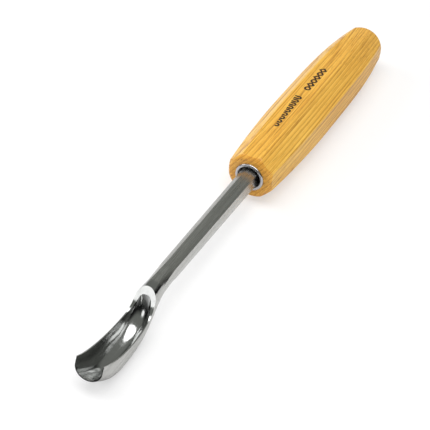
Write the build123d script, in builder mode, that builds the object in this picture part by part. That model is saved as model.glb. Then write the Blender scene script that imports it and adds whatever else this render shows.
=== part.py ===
"""Spoon-bent carving gouge: octagonal wooden handle, inset steel ferrule, forged blade.

Frame: +Y runs from the cutting edge to the butt, +Z is up, and the hollow of the blade
opens upward. The tool lies on a table, on its belly and on one facet of its handle, and the
origin is on the table under the middle of the tool. Millimetres.
"""
from build123d import *
from math import atan2, cos, degrees, radians, sin, tan
import os

# Overall sizes; heights in the blade are measured from the tool's own axis
handle_length = 121.6          # front face of the handle to the top of the butt
across_flats = 23.4            # handle at its fullest
blade_reach = 113.2            # front face of the handle to the cutting edge
blade_width = 10.4             # corner to corner at the cutting edge
belly_depth = 13.5             # axis to the lowest point of the spoon
belly_back = 15.7              # that point's distance back from the cutting edge

# Handle
nose_flats = 0.803 * across_flats    # at the front face
nose_flare = 0.09              # slope of the facets where they leave the nose
full_from = 50.0               # the barrel is straight between these two distances
full_to = 68.0
butt_flats = 0.855 * across_flats    # where the dome starts
butt_taper = 0.11
dome_length = 15.0
nose_rim = 1.7                 # flat wood left around the ferrule on the front face
nose_round = 3.2               # length of the rounded front edge
nose_round_turn = 90
turned_width = 1.12            # turned nose and dome, as a share of the distance across flats
arris_round = 0.6
planing_depth = 0.8 * across_flats   # reach of a facet's side outline, past the corners

# Ferrule
ferrule_outer = 12.2
ferrule_wall = 1.3
ferrule_length = 11.0          # depth of its seat in the handle
ferrule_proud = 0.6
ferrule_lip = 0.55
seat_clearance = 0.05
ferrule_inner = ferrule_outer - 2 * ferrule_wall

# Shoulder and tang
recess_depth = 5.0             # front face of the handle to the floor the shoulder bears on
shoulder_thick = 2.0
shoulder_clearance = 0.25      # between the shoulder's corners and the ferrule's bore
shoulder_radius = ferrule_inner / 2 - shoulder_clearance
tang_root = shoulder_radius    # width of the square tang where it starts
tang_tip = 2.4
tang_length = 52.0
tang_clearance = 0.15
socket_spare = 1.5             # room past the end of the tang

# Shaft, eight sided with broad sloping faces
shaft_root = 0.75 * shoulder_radius  # half width at the shoulder
shaft_neck = 2.98              # half width where the spoon starts
shaft_rise = 1.12              # half height, as a share of the half width
shaft_bevel_drop = 0.40        # drop of a sloping face, likewise
shaft_bevel_in = 0.37          # half width of the top face, likewise
shaft_crown = 0.02             # bulge of its faces, as a share of their width
spoon_length = 51.2            # cutting edge back to the end of the straight shaft

# Spoon: distance back from the cutting edge, spread from the shaft's half width (0) to the
# blade's (1), top from the axis, belly as a share of its depth, roundness
spoon_stations = [
    (47.2, 0.03, 3.38, 0.26, 0.25),
    (43.2, 0.15, 3.40, 0.32, 0.6),
    (38.2, 0.39, 3.40, 0.47, 0.97),
    (33.2, 0.64, 3.90, 0.69, 0.97),
    (27.2, 0.87, 6.00, 0.895, 0.97),
    (21.2, 1.01, 7.50, 0.98, 0.97),
    (belly_back, 1.08, 8.00, 1.0, 0.97),
    (9.7, 1.09, 8.00, 0.945, 0.97),
    (4.7, 1.05, 8.00, 0.74, 0.97),
    (-0.1, 0.99, 8.00, 0.43, 0.97),
    (-2.8, 0.95, 8.00, 0.24, 0.97),
]
round_corner = 38.0            # degrees from the lowest point to the end of the middle arc

# Hollow: distance back from the cutting edge, half width as a share of the blade's, and
# floor as a share of the belly's depth
hollow_stations = [
    (38.6, 0.22, -0.46),
    (37.0, 0.40, -0.07),
    (35.2, 0.53, 0.31),
    (32.2, 0.735, 0.585),
    (27.2, 0.85, 0.78),
    (21.2, 0.915, 0.87),
    (belly_back, 0.95, 0.895),
    (9.7, 0.955, 0.84),
    (4.7, 0.955, 0.66),
    (-0.1, 0.96, 0.405),
    (-2.8, 0.98, 0.22),
]
hollow_top = 14.0

# Rim, seen from the side: distance back from the cutting edge, height from the axis
rim_points = [(40.2, 5.0), (37.0, 0.9), (33.7, -3.1), (28.7, -4.9), (20.2, -5.1), (11.2, -3.5)]
tip_corner = (3.1, 0.1)
tip_lean = 0.55                # the cutting edge leans forward this much per unit of depth
side_room = 20.0               # reach of the side outline past the blade


def station(distance):
    """Plane across the tool, at a distance in front of the handle."""
    return Plane(origin=(0, -distance, 0), x_dir=(1, 0, 0), z_dir=(0, -1, 0))


def side_plane(turn, lengthwise=1):
    """Plane along the tool's axis, seen from the side; turned about the axis by degrees."""
    across = (lengthwise * cos(radians(turn)), 0, lengthwise * sin(radians(turn)))
    return Plane(origin=(0, 0, 0), x_dir=(0, lengthwise, 0), z_dir=across)


def between(start, end, share):
    return start + (end - start) * share


def bowed(start, end, centre, turn, roundness):
    """Arc from start to end, nearly flat at roundness 0, turning by so many degrees at 1."""
    chord = Vector(*end) - Vector(*start)
    middle = (Vector(*start) + Vector(*end)) * 0.5
    outward = (middle - Vector(*centre)).normalized()
    rise = between(shaft_crown, tan(radians(turn) / 4) / 2, roundness)
    ThreePointArc(start, middle + outward * rise * chord.length, end)


def blade_outline(half, top, belly, roundness):
    """Closed outline of eight edges, from an octagon at roundness 0 to an oval at 1."""
    turn = radians(round_corner)
    shoulders = []
    for height, way in ((top, 1), (belly, -1)):
        shoulder = height - way * half * between(shaft_bevel_drop, 1, roundness)
        corner_x = half * between(shaft_bevel_in, sin(turn), roundness)
        corner_z = height - way * half * between(0, 1 - cos(turn), roundness)
        centre = (0, height - way * half)
        for side in (1, -1):
            bowed((side * half, shoulder), (side * corner_x, corner_z), centre,
                  90 - round_corner, roundness)
        bowed((corner_x, corner_z), (-corner_x, corner_z), centre, 2 * round_corner, roundness)
        shoulders.append(shoulder)
    for side in (1, -1):
        Line((side * half, shoulders[0]), (side * half, shoulders[1]))


def spoon_section(back, spread, top, belly_share, roundness):
    half = between(shaft_neck, blade_width / 2, spread)
    with BuildSketch(station(blade_reach - back)) as section:
        with BuildLine():
            blade_outline(half, top, -belly_share * belly_depth, roundness)
        make_face()
    return section.sketch


def shaft_section(distance, half):
    with BuildSketch(station(distance)) as section:
        with BuildLine():
            blade_outline(half, shaft_rise * half, -shaft_rise * half, 0)
        make_face()
    return section.sketch


def square_section(distance, width):
    with BuildSketch(station(distance)) as section:
        Rectangle(width, width)
    return section.sketch


def hollow_section(back, width_share, floor_share):
    half = width_share * blade_width / 2
    floor = -floor_share * belly_depth
    centre = floor + half
    with BuildSketch(station(blade_reach - back)) as section:
        with BuildLine():
            ThreePointArc((-half, centre), (0, floor), (half, centre))
            Polyline((half, centre), (half, hollow_top), (-half, hollow_top), (-half, centre))
        make_face()
    return section.sketch


def tang_taper(clearance, spare):
    """Square taper of the tang, or of its socket when a clearance is given."""
    slope = (tang_root - tang_tip) / tang_length
    end = tang_length + spare
    root = square_section(-recess_depth, tang_root + 2 * clearance)
    tip = square_section(-recess_depth - end, tang_root - slope * end + 2 * clearance)
    return [root, tip]


# Handle: four pairs of planed facets, then the turned nose and butt, then its sockets
with BuildPart() as handle:
    dome_start = handle_length - dome_length
    for turn in (0, 45, 90, 135):
        with BuildSketch(side_plane(turn)):
            with BuildLine() as facet:
                Spline((0, nose_flats / 2), (full_from, across_flats / 2),
                       tangents=[(1, nose_flare), (1, 0)])
                Line((full_from, across_flats / 2), (full_to, across_flats / 2))
                Spline((full_to, across_flats / 2), (dome_start, butt_flats / 2),
                       tangents=[(1, 0), (1, -butt_taper)])
                end = (handle_length, butt_flats / 2 - butt_taper * dome_length)
                Line((dome_start, butt_flats / 2), end)
                mirror(about=Plane.XZ)
                Line((0, nose_flats / 2), (0, -nose_flats / 2))
                Line(end, (end[0], -end[1]))
            make_face()
        extrude(amount=planing_depth, both=True, mode=Mode.ADD if turn == 0 else Mode.INTERSECT)
    arrises = handle.edges().filter_by(lambda edge: edge.length > nose_flats / 2 and
                                       abs(edge.tangent_at(0.5).Y) > 0.9)
    fillet(arrises, radius=arris_round)
    with BuildSketch(side_plane(0)):
        with BuildLine():
            landed = (0, ferrule_outer / 2 + nose_rim)
            rounded = (nose_round, turned_width * nose_flats / 2)
            dome_radius = turned_width * butt_flats / 2
            Line((0, 0), landed)
            bowed(landed, rounded, (nose_round, landed[1]), nose_round_turn, 1)
            Polyline(rounded, (nose_round, across_flats), (dome_start, across_flats),
                     (dome_start, dome_radius))
            EllipticalCenterArc((dome_start, 0), dome_length, dome_radius, 0, arc_size=90)
            Line((handle_length, 0), (0, 0))
        make_face()
    revolve(axis=Axis.Y, mode=Mode.INTERSECT)
    with BuildSketch(station(0)):
        Circle(ferrule_outer / 2 + seat_clearance)
    extrude(amount=-recess_depth, mode=Mode.SUBTRACT)
    with BuildSketch(station(-recess_depth)):
        Circle(ferrule_outer / 2 + seat_clearance)
        Circle(ferrule_inner / 2 - seat_clearance, mode=Mode.SUBTRACT)
    extrude(amount=recess_depth - ferrule_length, mode=Mode.SUBTRACT)
    loft(tang_taper(tang_clearance, socket_spare), mode=Mode.SUBTRACT)

# Ferrule: a turned steel ring whose rounded lip stands proud of the wood
with BuildPart() as ferrule:
    with BuildSketch(station(ferrule_proud)):
        Circle(ferrule_outer / 2)
        Circle(ferrule_inner / 2, mode=Mode.SUBTRACT)
    extrude(amount=-ferrule_proud - ferrule_length)
    fillet(ferrule.faces().sort_by(Axis.Y)[0].edges(), radius=ferrule_lip)

# Blade: spoon, shaft, shoulder and tang, forged in one
with BuildPart() as blade:
    shaft_end = shaft_section(blade_reach - spoon_length, shaft_neck)
    loft([shaft_end] + [spoon_section(*row) for row in spoon_stations])
    with BuildSketch(side_plane(0, lengthwise=-1)):
        with BuildLine():
            rim = [(blade_reach - back, height) for back, height in rim_points + [tip_corner]]
            behind = rim[0][0] - side_room
            lowest = -belly_depth - side_room
            tip_foot = (rim[-1][0] + tip_lean * (rim[-1][1] - lowest), lowest)
            Spline(*rim)
            Polyline(rim[-1], tip_foot, (behind, lowest), (behind, side_room),
                     (rim[0][0], side_room), rim[0])
        make_face()
    extrude(amount=blade_width, both=True, mode=Mode.INTERSECT)
    loft([hollow_section(*row) for row in hollow_stations], mode=Mode.SUBTRACT)
    shoulder_face = shoulder_thick - recess_depth
    loft([shaft_section(shoulder_face, shaft_root), shaft_end], ruled=True)
    with BuildSketch(station(shoulder_face)):
        RegularPolygon(shoulder_radius, 8, rotation=22.5)
    extrude(amount=-shoulder_thick)
    loft(tang_taper(0, 0))

# The pieces are built along the tool's axis, from the middle of the handle's front face.
# Here the tool is laid on the table, on its belly and handle, with the origin under its middle.
pieces = {"handle": handle, "ferrule": ferrule, "blade": blade}
rest_tilt = degrees(atan2(across_flats / 2 - belly_depth, blade_reach - belly_back + full_to))
for name, piece in pieces.items():
    piece.part.label = name
    piece.part.move(Location((0, 0, 0), (rest_tilt, 0, 0)))
whole = Compound([piece.part for piece in pieces.values()]).bounding_box()
for piece in pieces.values():
    piece.part.move(Location((0, -whole.center().Y, -whole.min.Z)))

os.makedirs("parts", exist_ok=True)
export_step(handle.part, "parts/handle.step")
export_step(ferrule.part, "parts/ferrule.step")
export_step(blade.part, "parts/blade.step")
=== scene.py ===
import math

import bpy
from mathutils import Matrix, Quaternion, Vector


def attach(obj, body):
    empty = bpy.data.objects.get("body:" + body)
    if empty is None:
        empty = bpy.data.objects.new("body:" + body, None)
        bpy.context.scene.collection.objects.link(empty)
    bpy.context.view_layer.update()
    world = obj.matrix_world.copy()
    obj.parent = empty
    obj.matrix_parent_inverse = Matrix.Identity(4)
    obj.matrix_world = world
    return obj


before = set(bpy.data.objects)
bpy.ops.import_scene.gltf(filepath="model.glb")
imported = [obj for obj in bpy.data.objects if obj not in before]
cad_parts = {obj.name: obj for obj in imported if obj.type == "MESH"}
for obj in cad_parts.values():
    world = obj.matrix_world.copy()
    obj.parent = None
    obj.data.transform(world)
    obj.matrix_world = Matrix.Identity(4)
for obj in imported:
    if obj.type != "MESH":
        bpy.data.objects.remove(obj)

bpy.context.view_layer.update()

# --- Camera -------------------------------------------------------------------------------
# The camera looks down over the cutting edge along the tool, from a little to its right,
# and is aimed at a point just in front of the ferrule.
aim = Vector((-0.00053, -0.03098, 0.01277))
aim_to_camera = Vector((0.3637, -0.6666, 0.6508)).normalized()
camera_distance = 0.380
camera_roll = math.radians(0.39)
camera = bpy.data.objects.new("camera", bpy.data.cameras.new("camera"))
bpy.context.scene.collection.objects.link(camera)
camera.location = aim + aim_to_camera * camera_distance
camera.rotation_mode = "QUATERNION"
camera.rotation_quaternion = ((-aim_to_camera).to_track_quat("-Z", "Y")
                              @ Quaternion((0, 0, 1), camera_roll))
camera.data.sensor_width = 36
camera.data.lens = 85.1
camera.data.clip_start = 0.01
camera.data.clip_end = 20
bpy.context.scene.camera = camera


# --- Handle -------------------------------------------------------------------------------
# One piece of straight-grained ash, planed to eight facets, turned at both ends and oiled.
# The rings stand steep in the right-hand facets and lie nearly flat in the top one. The end
# grain of the nose and the butt has soaked up more oil.
def add(tree, kind, **values):
    """A node of that kind. A value that is a socket is linked, and the rest are set."""
    node = tree.nodes.new("ShaderNode" + kind)
    settings = ("operation", "blend_type", "data_type", "bands_direction", "wave_profile")
    for name, value in values.items():
        if name in settings:
            setattr(node, name, value)
            continue
        key = int(name[1:]) if name[0] == "_" else name.replace("_", " ")
        if isinstance(value, bpy.types.NodeSocket):
            tree.links.new(value, node.inputs[key])
        else:
            node.inputs[key].default_value = value
    return node


def material(name):
    """A new empty material and its node tree."""
    made = bpy.data.materials.new(name)
    made.use_nodes = True
    made.node_tree.nodes.clear()
    return made, made.node_tree


def finish_surface(tree, **values):
    """The Principled shader with those values, joined to the output."""
    shader = add(tree, "BsdfPrincipled", **values)
    out = tree.nodes.new("ShaderNodeOutputMaterial")
    tree.links.new(shader.outputs[0], out.inputs[0])


def object_place(tree):
    """Where a point of the surface lies on the object, in metres."""
    return tree.nodes.new("ShaderNodeTexCoord").outputs["Object"]


def stretched(tree, scale, turn=(0, 0, 0)):
    """Object coordinates, turned and then scaled, for patterns that run along the tool."""
    turned = add(tree, "Mapping", Vector=object_place(tree), Rotation=turn)
    return add(tree, "Mapping", Vector=turned.outputs[0], Scale=scale).outputs[0]


def noise(tree, place, detail, **values):
    """The grey and the colour of a noise over that place."""
    return add(tree, "TexNoise", Vector=place, Scale=1.0, Detail=detail, **values).outputs


def ramp(tree, factor, *stops):
    """A colour or grey that changes over the factor, evenly from stop to stop."""
    node = tree.nodes.new("ShaderNodeValToRGB")
    tree.links.new(factor, node.inputs[0])
    elements = node.color_ramp.elements
    for index, (position, colour) in enumerate(stops):
        stop = elements[index] if index < 2 else elements.new(position)
        stop.position = position
        stop.color = (*colour, 1) if isinstance(colour, tuple) else (colour, colour, colour, 1)
    return node.outputs[0]


def mixed(tree, share, first, second, way="MIX"):
    """Two colours mixed, with that share of the second."""
    node = add(tree, "Mix", data_type="RGBA", blend_type=way)
    for index, value in ((0, share), (6, first), (7, second)):
        if isinstance(value, bpy.types.NodeSocket):
            tree.links.new(value, node.inputs[index])
        else:
            node.inputs[index].default_value = (*value, 1) if isinstance(value, tuple) else value
    return node.outputs[2]


ring_lean = math.radians(50)
grain_drift = math.radians(0.4)
steep = (0, ring_lean, grain_drift)
waviness = 1.8
white = (1.0, 1.0, 1.0)

ash, tree = material("oiled_ash")
waver = noise(tree, stretched(tree, (120, 9, 120)), 2.0)
bend = add(tree, "VectorMath", operation="SCALE", _0=waver["Color"], Scale=waviness)
ring_place = add(tree, "VectorMath", operation="ADD",
                 _0=stretched(tree, (100, 20, 1000), steep), _1=bend.outputs[0])
rings = add(tree, "TexWave", Vector=ring_place.outputs[0], Scale=0.19, Distortion=1.2,
            Detail=2.0, bands_direction="Z", wave_profile="SAW")
grain = noise(tree, stretched(tree, (500, 11, 2300), steep), 4.0, Roughness=0.65)
pores = noise(tree, stretched(tree, (3600, 110, 5200), steep), 1.0)
cloud = noise(tree, stretched(tree, (80, 16, 120), steep), 2.0)
year = ramp(tree, rings.outputs["Fac"], (0.0, (0.64, 0.310, 0.035)), (0.20, (0.86, 0.480, 0.070)),
            (0.60, (0.95, 0.580, 0.100)), (1.0, (0.97, 0.620, 0.130)))
streaks = ramp(tree, grain["Fac"], (0.35, (0.50, 0.35, 0.17)), (0.46, (0.90, 0.84, 0.72)),
               (0.60, white))
pits = ramp(tree, pores["Fac"], (0.30, (0.45, 0.32, 0.18)), (0.40, white))
patches = ramp(tree, cloud["Fac"], (0.35, (0.84, 0.70, 0.45)), (0.62, white))
streaked = mixed(tree, 0.85, year, streaks, "MULTIPLY")
pitted = mixed(tree, 0.55, streaked, pits, "MULTIPLY")
clouded = mixed(tree, 0.5, pitted, patches, "MULTIPLY")

facing = add(tree, "SeparateXYZ", Vector=tree.nodes.new("ShaderNodeNewGeometry").outputs["Normal"])
lengthwise = add(tree, "Math", operation="ABSOLUTE", _0=facing.outputs["Y"])
end_grain = ramp(tree, lengthwise.outputs[0], (0.25, 0.0), (0.75, 1.0))
soaked = mixed(tree, 1.0, clouded, (0.92, 0.80, 0.58), "MULTIPLY")
oiled = mixed(tree, end_grain, clouded, soaked)

dullness = ramp(tree, grain["Fac"], (0.3, 0.52), (0.7, 0.38))
relief = add(tree, "Math", operation="ADD", _0=grain["Fac"], _1=pores["Fac"])
bump = add(tree, "Bump", Strength=0.3, Distance=0.0001, Height=relief.outputs[0])
finish_surface(tree, Base_Color=oiled, Roughness=dullness, Normal=bump.outputs[0],
               Coat_Weight=0.08, Coat_Roughness=0.3)
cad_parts["handle"].material_slots[0].material = ash

# --- Stamp --------------------------------------------------------------------------------
# Dark marks burnt into the top facet with steel dies: a row of U shapes from a shallow sweep
# to a deep one, and a row of rings and lozenges. They are plain ornament and say nothing.
mark_stroke, mark_depth = 0.00082, 0.00006
mark_clearance = 0.00002
height_above = 0.03
round_corners = 32
sweep_radius, sweep_pitch, first_sweep = 0.00118, 0.00262, 0.0190
shortest_leg, leg_step = 0.0005, 0.0002
ring_radius, lozenge_radius = 0.0015, 0.0019
ring_pitch, first_ring = 0.0032, 0.0482
marks = []


def flat_mark(corners, radius, along):
    """A flat outline of even stroke width over the top facet, all selected in edit mode."""
    bpy.ops.object.select_all(action="DESELECT")
    bpy.ops.mesh.primitive_circle_add(vertices=corners, radius=radius, fill_type="NGON",
                                      location=(0, along, height_above))
    bpy.ops.object.transform_apply(location=True, rotation=True, scale=True)
    bpy.ops.object.mode_set(mode="EDIT")
    bpy.ops.mesh.select_all(action="SELECT")
    bpy.ops.mesh.inset(thickness=mark_stroke, depth=0)
    bpy.ops.mesh.delete(type="FACE")
    bpy.ops.mesh.select_all(action="SELECT")
    marks.append(bpy.context.object)


for index in range(9):
    along = first_sweep + sweep_pitch * index
    leg = shortest_leg + leg_step * index
    flat_mark(round_corners, sweep_radius, along)
    bpy.ops.mesh.bisect(plane_co=(0, along, height_above), plane_no=(-1, 0, 0), clear_outer=True)
    bpy.ops.mesh.extrude_edges_move(TRANSFORM_OT_translate={"value": (-leg, 0, 0)})
    bpy.ops.object.mode_set(mode="OBJECT")
for index in range(6):
    along = first_ring + ring_pitch * index
    if index % 2:
        flat_mark(4, lozenge_radius, along)
    else:
        flat_mark(round_corners, ring_radius, along)
    bpy.ops.object.mode_set(mode="OBJECT")

bpy.ops.object.select_all(action="DESELECT")
for mark in marks:
    mark.select_set(True)
bpy.context.view_layer.objects.active = marks[0]
bpy.ops.object.join()
stamp = bpy.context.object
stamp.name = "stamp"
bpy.ops.object.mode_set(mode="EDIT")
bpy.ops.mesh.select_all(action="SELECT")
bpy.ops.mesh.subdivide(number_cuts=1)
bpy.ops.object.mode_set(mode="OBJECT")
laid = stamp.modifiers.new("laid", "SHRINKWRAP")
laid.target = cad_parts["handle"]
laid.wrap_method = "PROJECT"
laid.use_project_z = True
laid.use_negative_direction = True
laid.use_positive_direction = False
laid.offset = mark_clearance
bpy.ops.object.modifier_apply(modifier="laid")
thick = stamp.modifiers.new("thick", "SOLIDIFY")
thick.thickness = mark_depth
thick.offset = -1
bpy.ops.object.modifier_apply(modifier="thick")

burnt, tree = material("burnt_stamp")
char = noise(tree, stretched(tree, (1500, 500, 1500)), 3.0)
finish_surface(tree,
               Base_Color=ramp(tree, char["Fac"], (0.35, (0.014, 0.007, 0.003)),
                               (0.75, (0.07, 0.032, 0.012))),
               Roughness=ramp(tree, char["Fac"], (0.3, 0.7), (0.7, 0.5)))
stamp.data.materials.clear()
stamp.data.materials.append(burnt)
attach(stamp, "root")

# --- Ferrule ------------------------------------------------------------------------------
# A turned steel ring, sunk into the nose of the handle so that only its rounded lip shows.
# It was cut on a lathe, and keeps faint marks that run round it.
grinding = bpy.data.node_groups.new("grinding_marks", "ShaderNodeTree")
for name, kind in (("Stretch", "NodeSocketVector"), ("Smoothest", "NodeSocketFloat"),
                   ("Roughest", "NodeSocketFloat")):
    grinding.interface.new_socket(name, in_out="INPUT", socket_type=kind)
for name, kind in (("Roughness", "NodeSocketFloat"), ("Normal", "NodeSocketVector")):
    grinding.interface.new_socket(name, in_out="OUTPUT", socket_type=kind)
given = grinding.nodes.new("NodeGroupInput").outputs
drawn_out = add(grinding, "VectorMath", operation="MULTIPLY", _0=object_place(grinding),
                _1=given["Stretch"])
scratches = noise(grinding, drawn_out.outputs[0], 3.0)
worn = add(grinding, "MapRange", Value=scratches["Fac"], From_Min=0.3, From_Max=0.7,
           To_Min=given["Smoothest"], To_Max=given["Roughest"])
scored = add(grinding, "Bump", Strength=0.12, Distance=0.00002, Height=scratches["Fac"])
results = grinding.nodes.new("NodeGroupOutput").inputs
grinding.links.new(worn.outputs[0], results["Roughness"])
grinding.links.new(scored.outputs[0], results["Normal"])


def ground(tree, stretch, smoothest, roughest):
    """The grinding marks, drawn out by a stretch, with the least and greatest roughness."""
    node = tree.nodes.new("ShaderNodeGroup")
    node.node_tree = grinding
    for name, value in (("Stretch", stretch), ("Smoothest", smoothest), ("Roughest", roughest)):
        node.inputs[name].default_value = value
    return node.outputs


turned_steel, tree = material("turned_steel")
turning = ground(tree, (200, 6000, 200), 0.16, 0.30)
finish_surface(tree, Base_Color=(0.50, 0.50, 0.52, 1), Metallic=1.0,
               Roughness=turning["Roughness"], Normal=turning["Normal"])
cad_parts["ferrule"].material_slots[0].material = turned_steel

# --- Blade --------------------------------------------------------------------------------
# One forging of tool steel. The shaft and the back are ground to a satin face along their
# length, and the channel and the slope of its mouth are polished bright. The masks below say
# where the polish is: on faces that look towards a line inside the channel, or up the slope.
climb_start, climb_end = -0.096, -0.076
line_low, line_high = 0.0070, 0.0230
polish_start, polish_end = -0.0745, -0.0765
slope_normal = (0.0, -0.82, 0.57)

tool_steel, tree = material("tool_steel")
place = add(tree, "SeparateXYZ", Vector=object_place(tree))
normal = tree.nodes.new("ShaderNodeNewGeometry").outputs["Normal"]
line_height = add(tree, "MapRange", Value=place.outputs["Y"], From_Min=climb_start,
                  From_Max=climb_end, To_Min=line_low, To_Max=line_high)
across = add(tree, "Math", operation="MULTIPLY", _0=place.outputs["X"], _1=-1.0)
upwards = add(tree, "Math", operation="SUBTRACT", _0=line_height.outputs[0],
              _1=place.outputs["Z"])
to_line = add(tree, "CombineXYZ", X=across.outputs[0], Z=upwards.outputs[0])
towards_line = add(tree, "VectorMath", operation="DOT_PRODUCT", _0=to_line.outputs[0], _1=normal)
hollow = add(tree, "MapRange", Value=towards_line.outputs["Value"], From_Min=0.0, From_Max=0.0008)
up_slope = add(tree, "VectorMath", operation="DOT_PRODUCT", _0=normal, _1=slope_normal)
slope = add(tree, "MapRange", Value=up_slope.outputs["Value"], From_Min=0.85, From_Max=0.93)
spoon = add(tree, "MapRange", Value=place.outputs["Y"], From_Min=polish_start,
            From_Max=polish_end)
either = add(tree, "Math", operation="MAXIMUM", _0=hollow.outputs[0], _1=slope.outputs[0])
polished = add(tree, "Math", operation="MULTIPLY", _0=either.outputs[0], _1=spoon.outputs[0])

satin = ground(tree, (5000, 90, 5000), 0.22, 0.36)
bright = ground(tree, (900, 60, 900), 0.12, 0.20)
roughness = mixed(tree, polished.outputs[0], satin["Roughness"], bright["Roughness"])
coarse = noise(tree, stretched(tree, (900, 12, 900)), 2.0)
tone = ramp(tree, coarse["Fac"], (0.30, (0.42, 0.42, 0.40)), (0.70, (0.53, 0.53, 0.515)))
specks = noise(tree, stretched(tree, (600, 900, 600), (0.5, 0.3, 0.8)), 3.0)
speck_share = ramp(tree, specks["Fac"], (0.60, 0.0), (0.72, 0.35))
speckled = mixed(tree, speck_share, tone, (0.24, 0.24, 0.23))
steel = mixed(tree, polished.outputs[0], speckled, (0.41, 0.415, 0.41))
finish_surface(tree, Base_Color=steel, Metallic=1.0, Roughness=roughness, Normal=satin["Normal"])
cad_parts["blade"].material_slots[0].material = tool_steel

# --- Table and light ----------------------------------------------------------------------
# A table of matt white paper. A camera ray sees it partly lit from within, so that it stays
# white and keeps a soft shadow. Steel sees its front end dark.
paper_colour = (0.90, 0.90, 0.90)
dark_end, light_end = -0.130, -0.108
glow_near, glow_far = 0.44, 1.0

bpy.ops.object.select_all(action="DESELECT")
bpy.ops.mesh.primitive_plane_add(size=8, location=(0, 0, 0))
table = bpy.context.object
table.name = "table"
paper, tree = material("white_table")
rays = tree.nodes.new("ShaderNodeLightPath").outputs
lit = add(tree, "BsdfPrincipled", Base_Color=(*paper_colour, 1), Roughness=0.9)
spot = add(tree, "SeparateXYZ", Vector=object_place(tree))
backwards = add(tree, "MapRange", Value=spot.outputs["Y"], From_Min=dark_end, From_Max=light_end)
front_end = ramp(tree, backwards.outputs[0], (0.0, 0.06), (1.0, 1.0))
seen_in_steel = mixed(tree, 1.0, front_end, paper_colour, "MULTIPLY")
mirrored = add(tree, "BsdfPrincipled", Base_Color=seen_in_steel, Roughness=0.9)
surface = add(tree, "MixShader", _0=rays["Is Glossy Ray"], _1=lit.outputs[0],
              _2=mirrored.outputs[0])
glow = add(tree, "Emission", Color=(1, 1, 1, 1), Strength=1.12)
distance = add(tree, "VectorMath", operation="LENGTH", _0=object_place(tree))
fading = add(tree, "MapRange", Value=distance.outputs["Value"], From_Min=0.20, From_Max=0.60,
             To_Min=glow_near, To_Max=glow_far)
share = add(tree, "Math", operation="MULTIPLY", _0=rays["Is Camera Ray"], _1=fading.outputs[0])
finished = add(tree, "MixShader", _0=share.outputs[0], _1=surface.outputs[0], _2=glow.outputs[0])
tree.links.new(finished.outputs[0], tree.nodes.new("ShaderNodeOutputMaterial").inputs[0])
table.data.materials.append(paper)

# A broad soft lamp overhead, which gives the bright patch in the channel, a second one on the
# left, and a small one in front on the left, which lights the slope of the mouth.
for name, position, length, width, power, aimed in (
        ("overhead_softbox", (0.22, -0.17, 0.98), 1.50, 0.62, 9.0, False),
        ("left_softbox", (-0.85, -0.05, 0.52), 0.55, 0.55, 2.8, True),
        ("side_softbox", (-0.39, -0.86, 0.33), 0.30, 0.30, 0.5, True)):
    lamp = bpy.data.objects.new(name, bpy.data.lights.new(name, "AREA"))
    bpy.context.scene.collection.objects.link(lamp)
    lamp.data.shape = "ELLIPSE"
    lamp.data.size = length
    lamp.data.size_y = width
    lamp.data.energy = power
    lamp.location = position
    if aimed:
        lamp.rotation_euler = (-lamp.location).to_track_quat("-Z", "Y").to_euler()

# The room is white to the camera and an even grey to everything matt. Steel sees a bright wall
# at the back on the left, dark walls elsewhere, and grey higher up.
even_grey = (0.38, 0.38, 0.38)
upper_grey = (0.26, 0.27, 0.25)
back_left = (-0.75, 0.66, 0.0)

room = bpy.data.worlds.new("room")
bpy.context.scene.world = room
room.use_nodes = True
tree = room.node_tree
tree.nodes.clear()
direction = tree.nodes.new("ShaderNodeTexCoord").outputs["Generated"]
rise = add(tree, "SeparateXYZ", Vector=direction).outputs["Z"]
leftwards = add(tree, "VectorMath", operation="DOT_PRODUCT", _0=direction, _1=back_left)
on_left = ramp(tree, leftwards.outputs["Value"], (0.50, 0.0), (0.85, 1.0))
bright_wall = ramp(tree, rise, (0.05, white), (0.20, upper_grey))
dark_wall = ramp(tree, rise, (0.28, (0.01, 0.01, 0.01)), (0.55, upper_grey))
walls = mixed(tree, on_left, dark_wall, bright_wall)
rays = tree.nodes.new("ShaderNodeLightPath").outputs
matt_or_steel = mixed(tree, rays["Is Glossy Ray"], even_grey, walls)
colour = mixed(tree, rays["Is Camera Ray"], matt_or_steel, white)
background = add(tree, "Background", Color=colour, Strength=1.0)
tree.links.new(background.outputs[0], tree.nodes.new("ShaderNodeOutputWorld").inputs[0])

bpy.context.scene.view_settings.view_transform = "Standard"
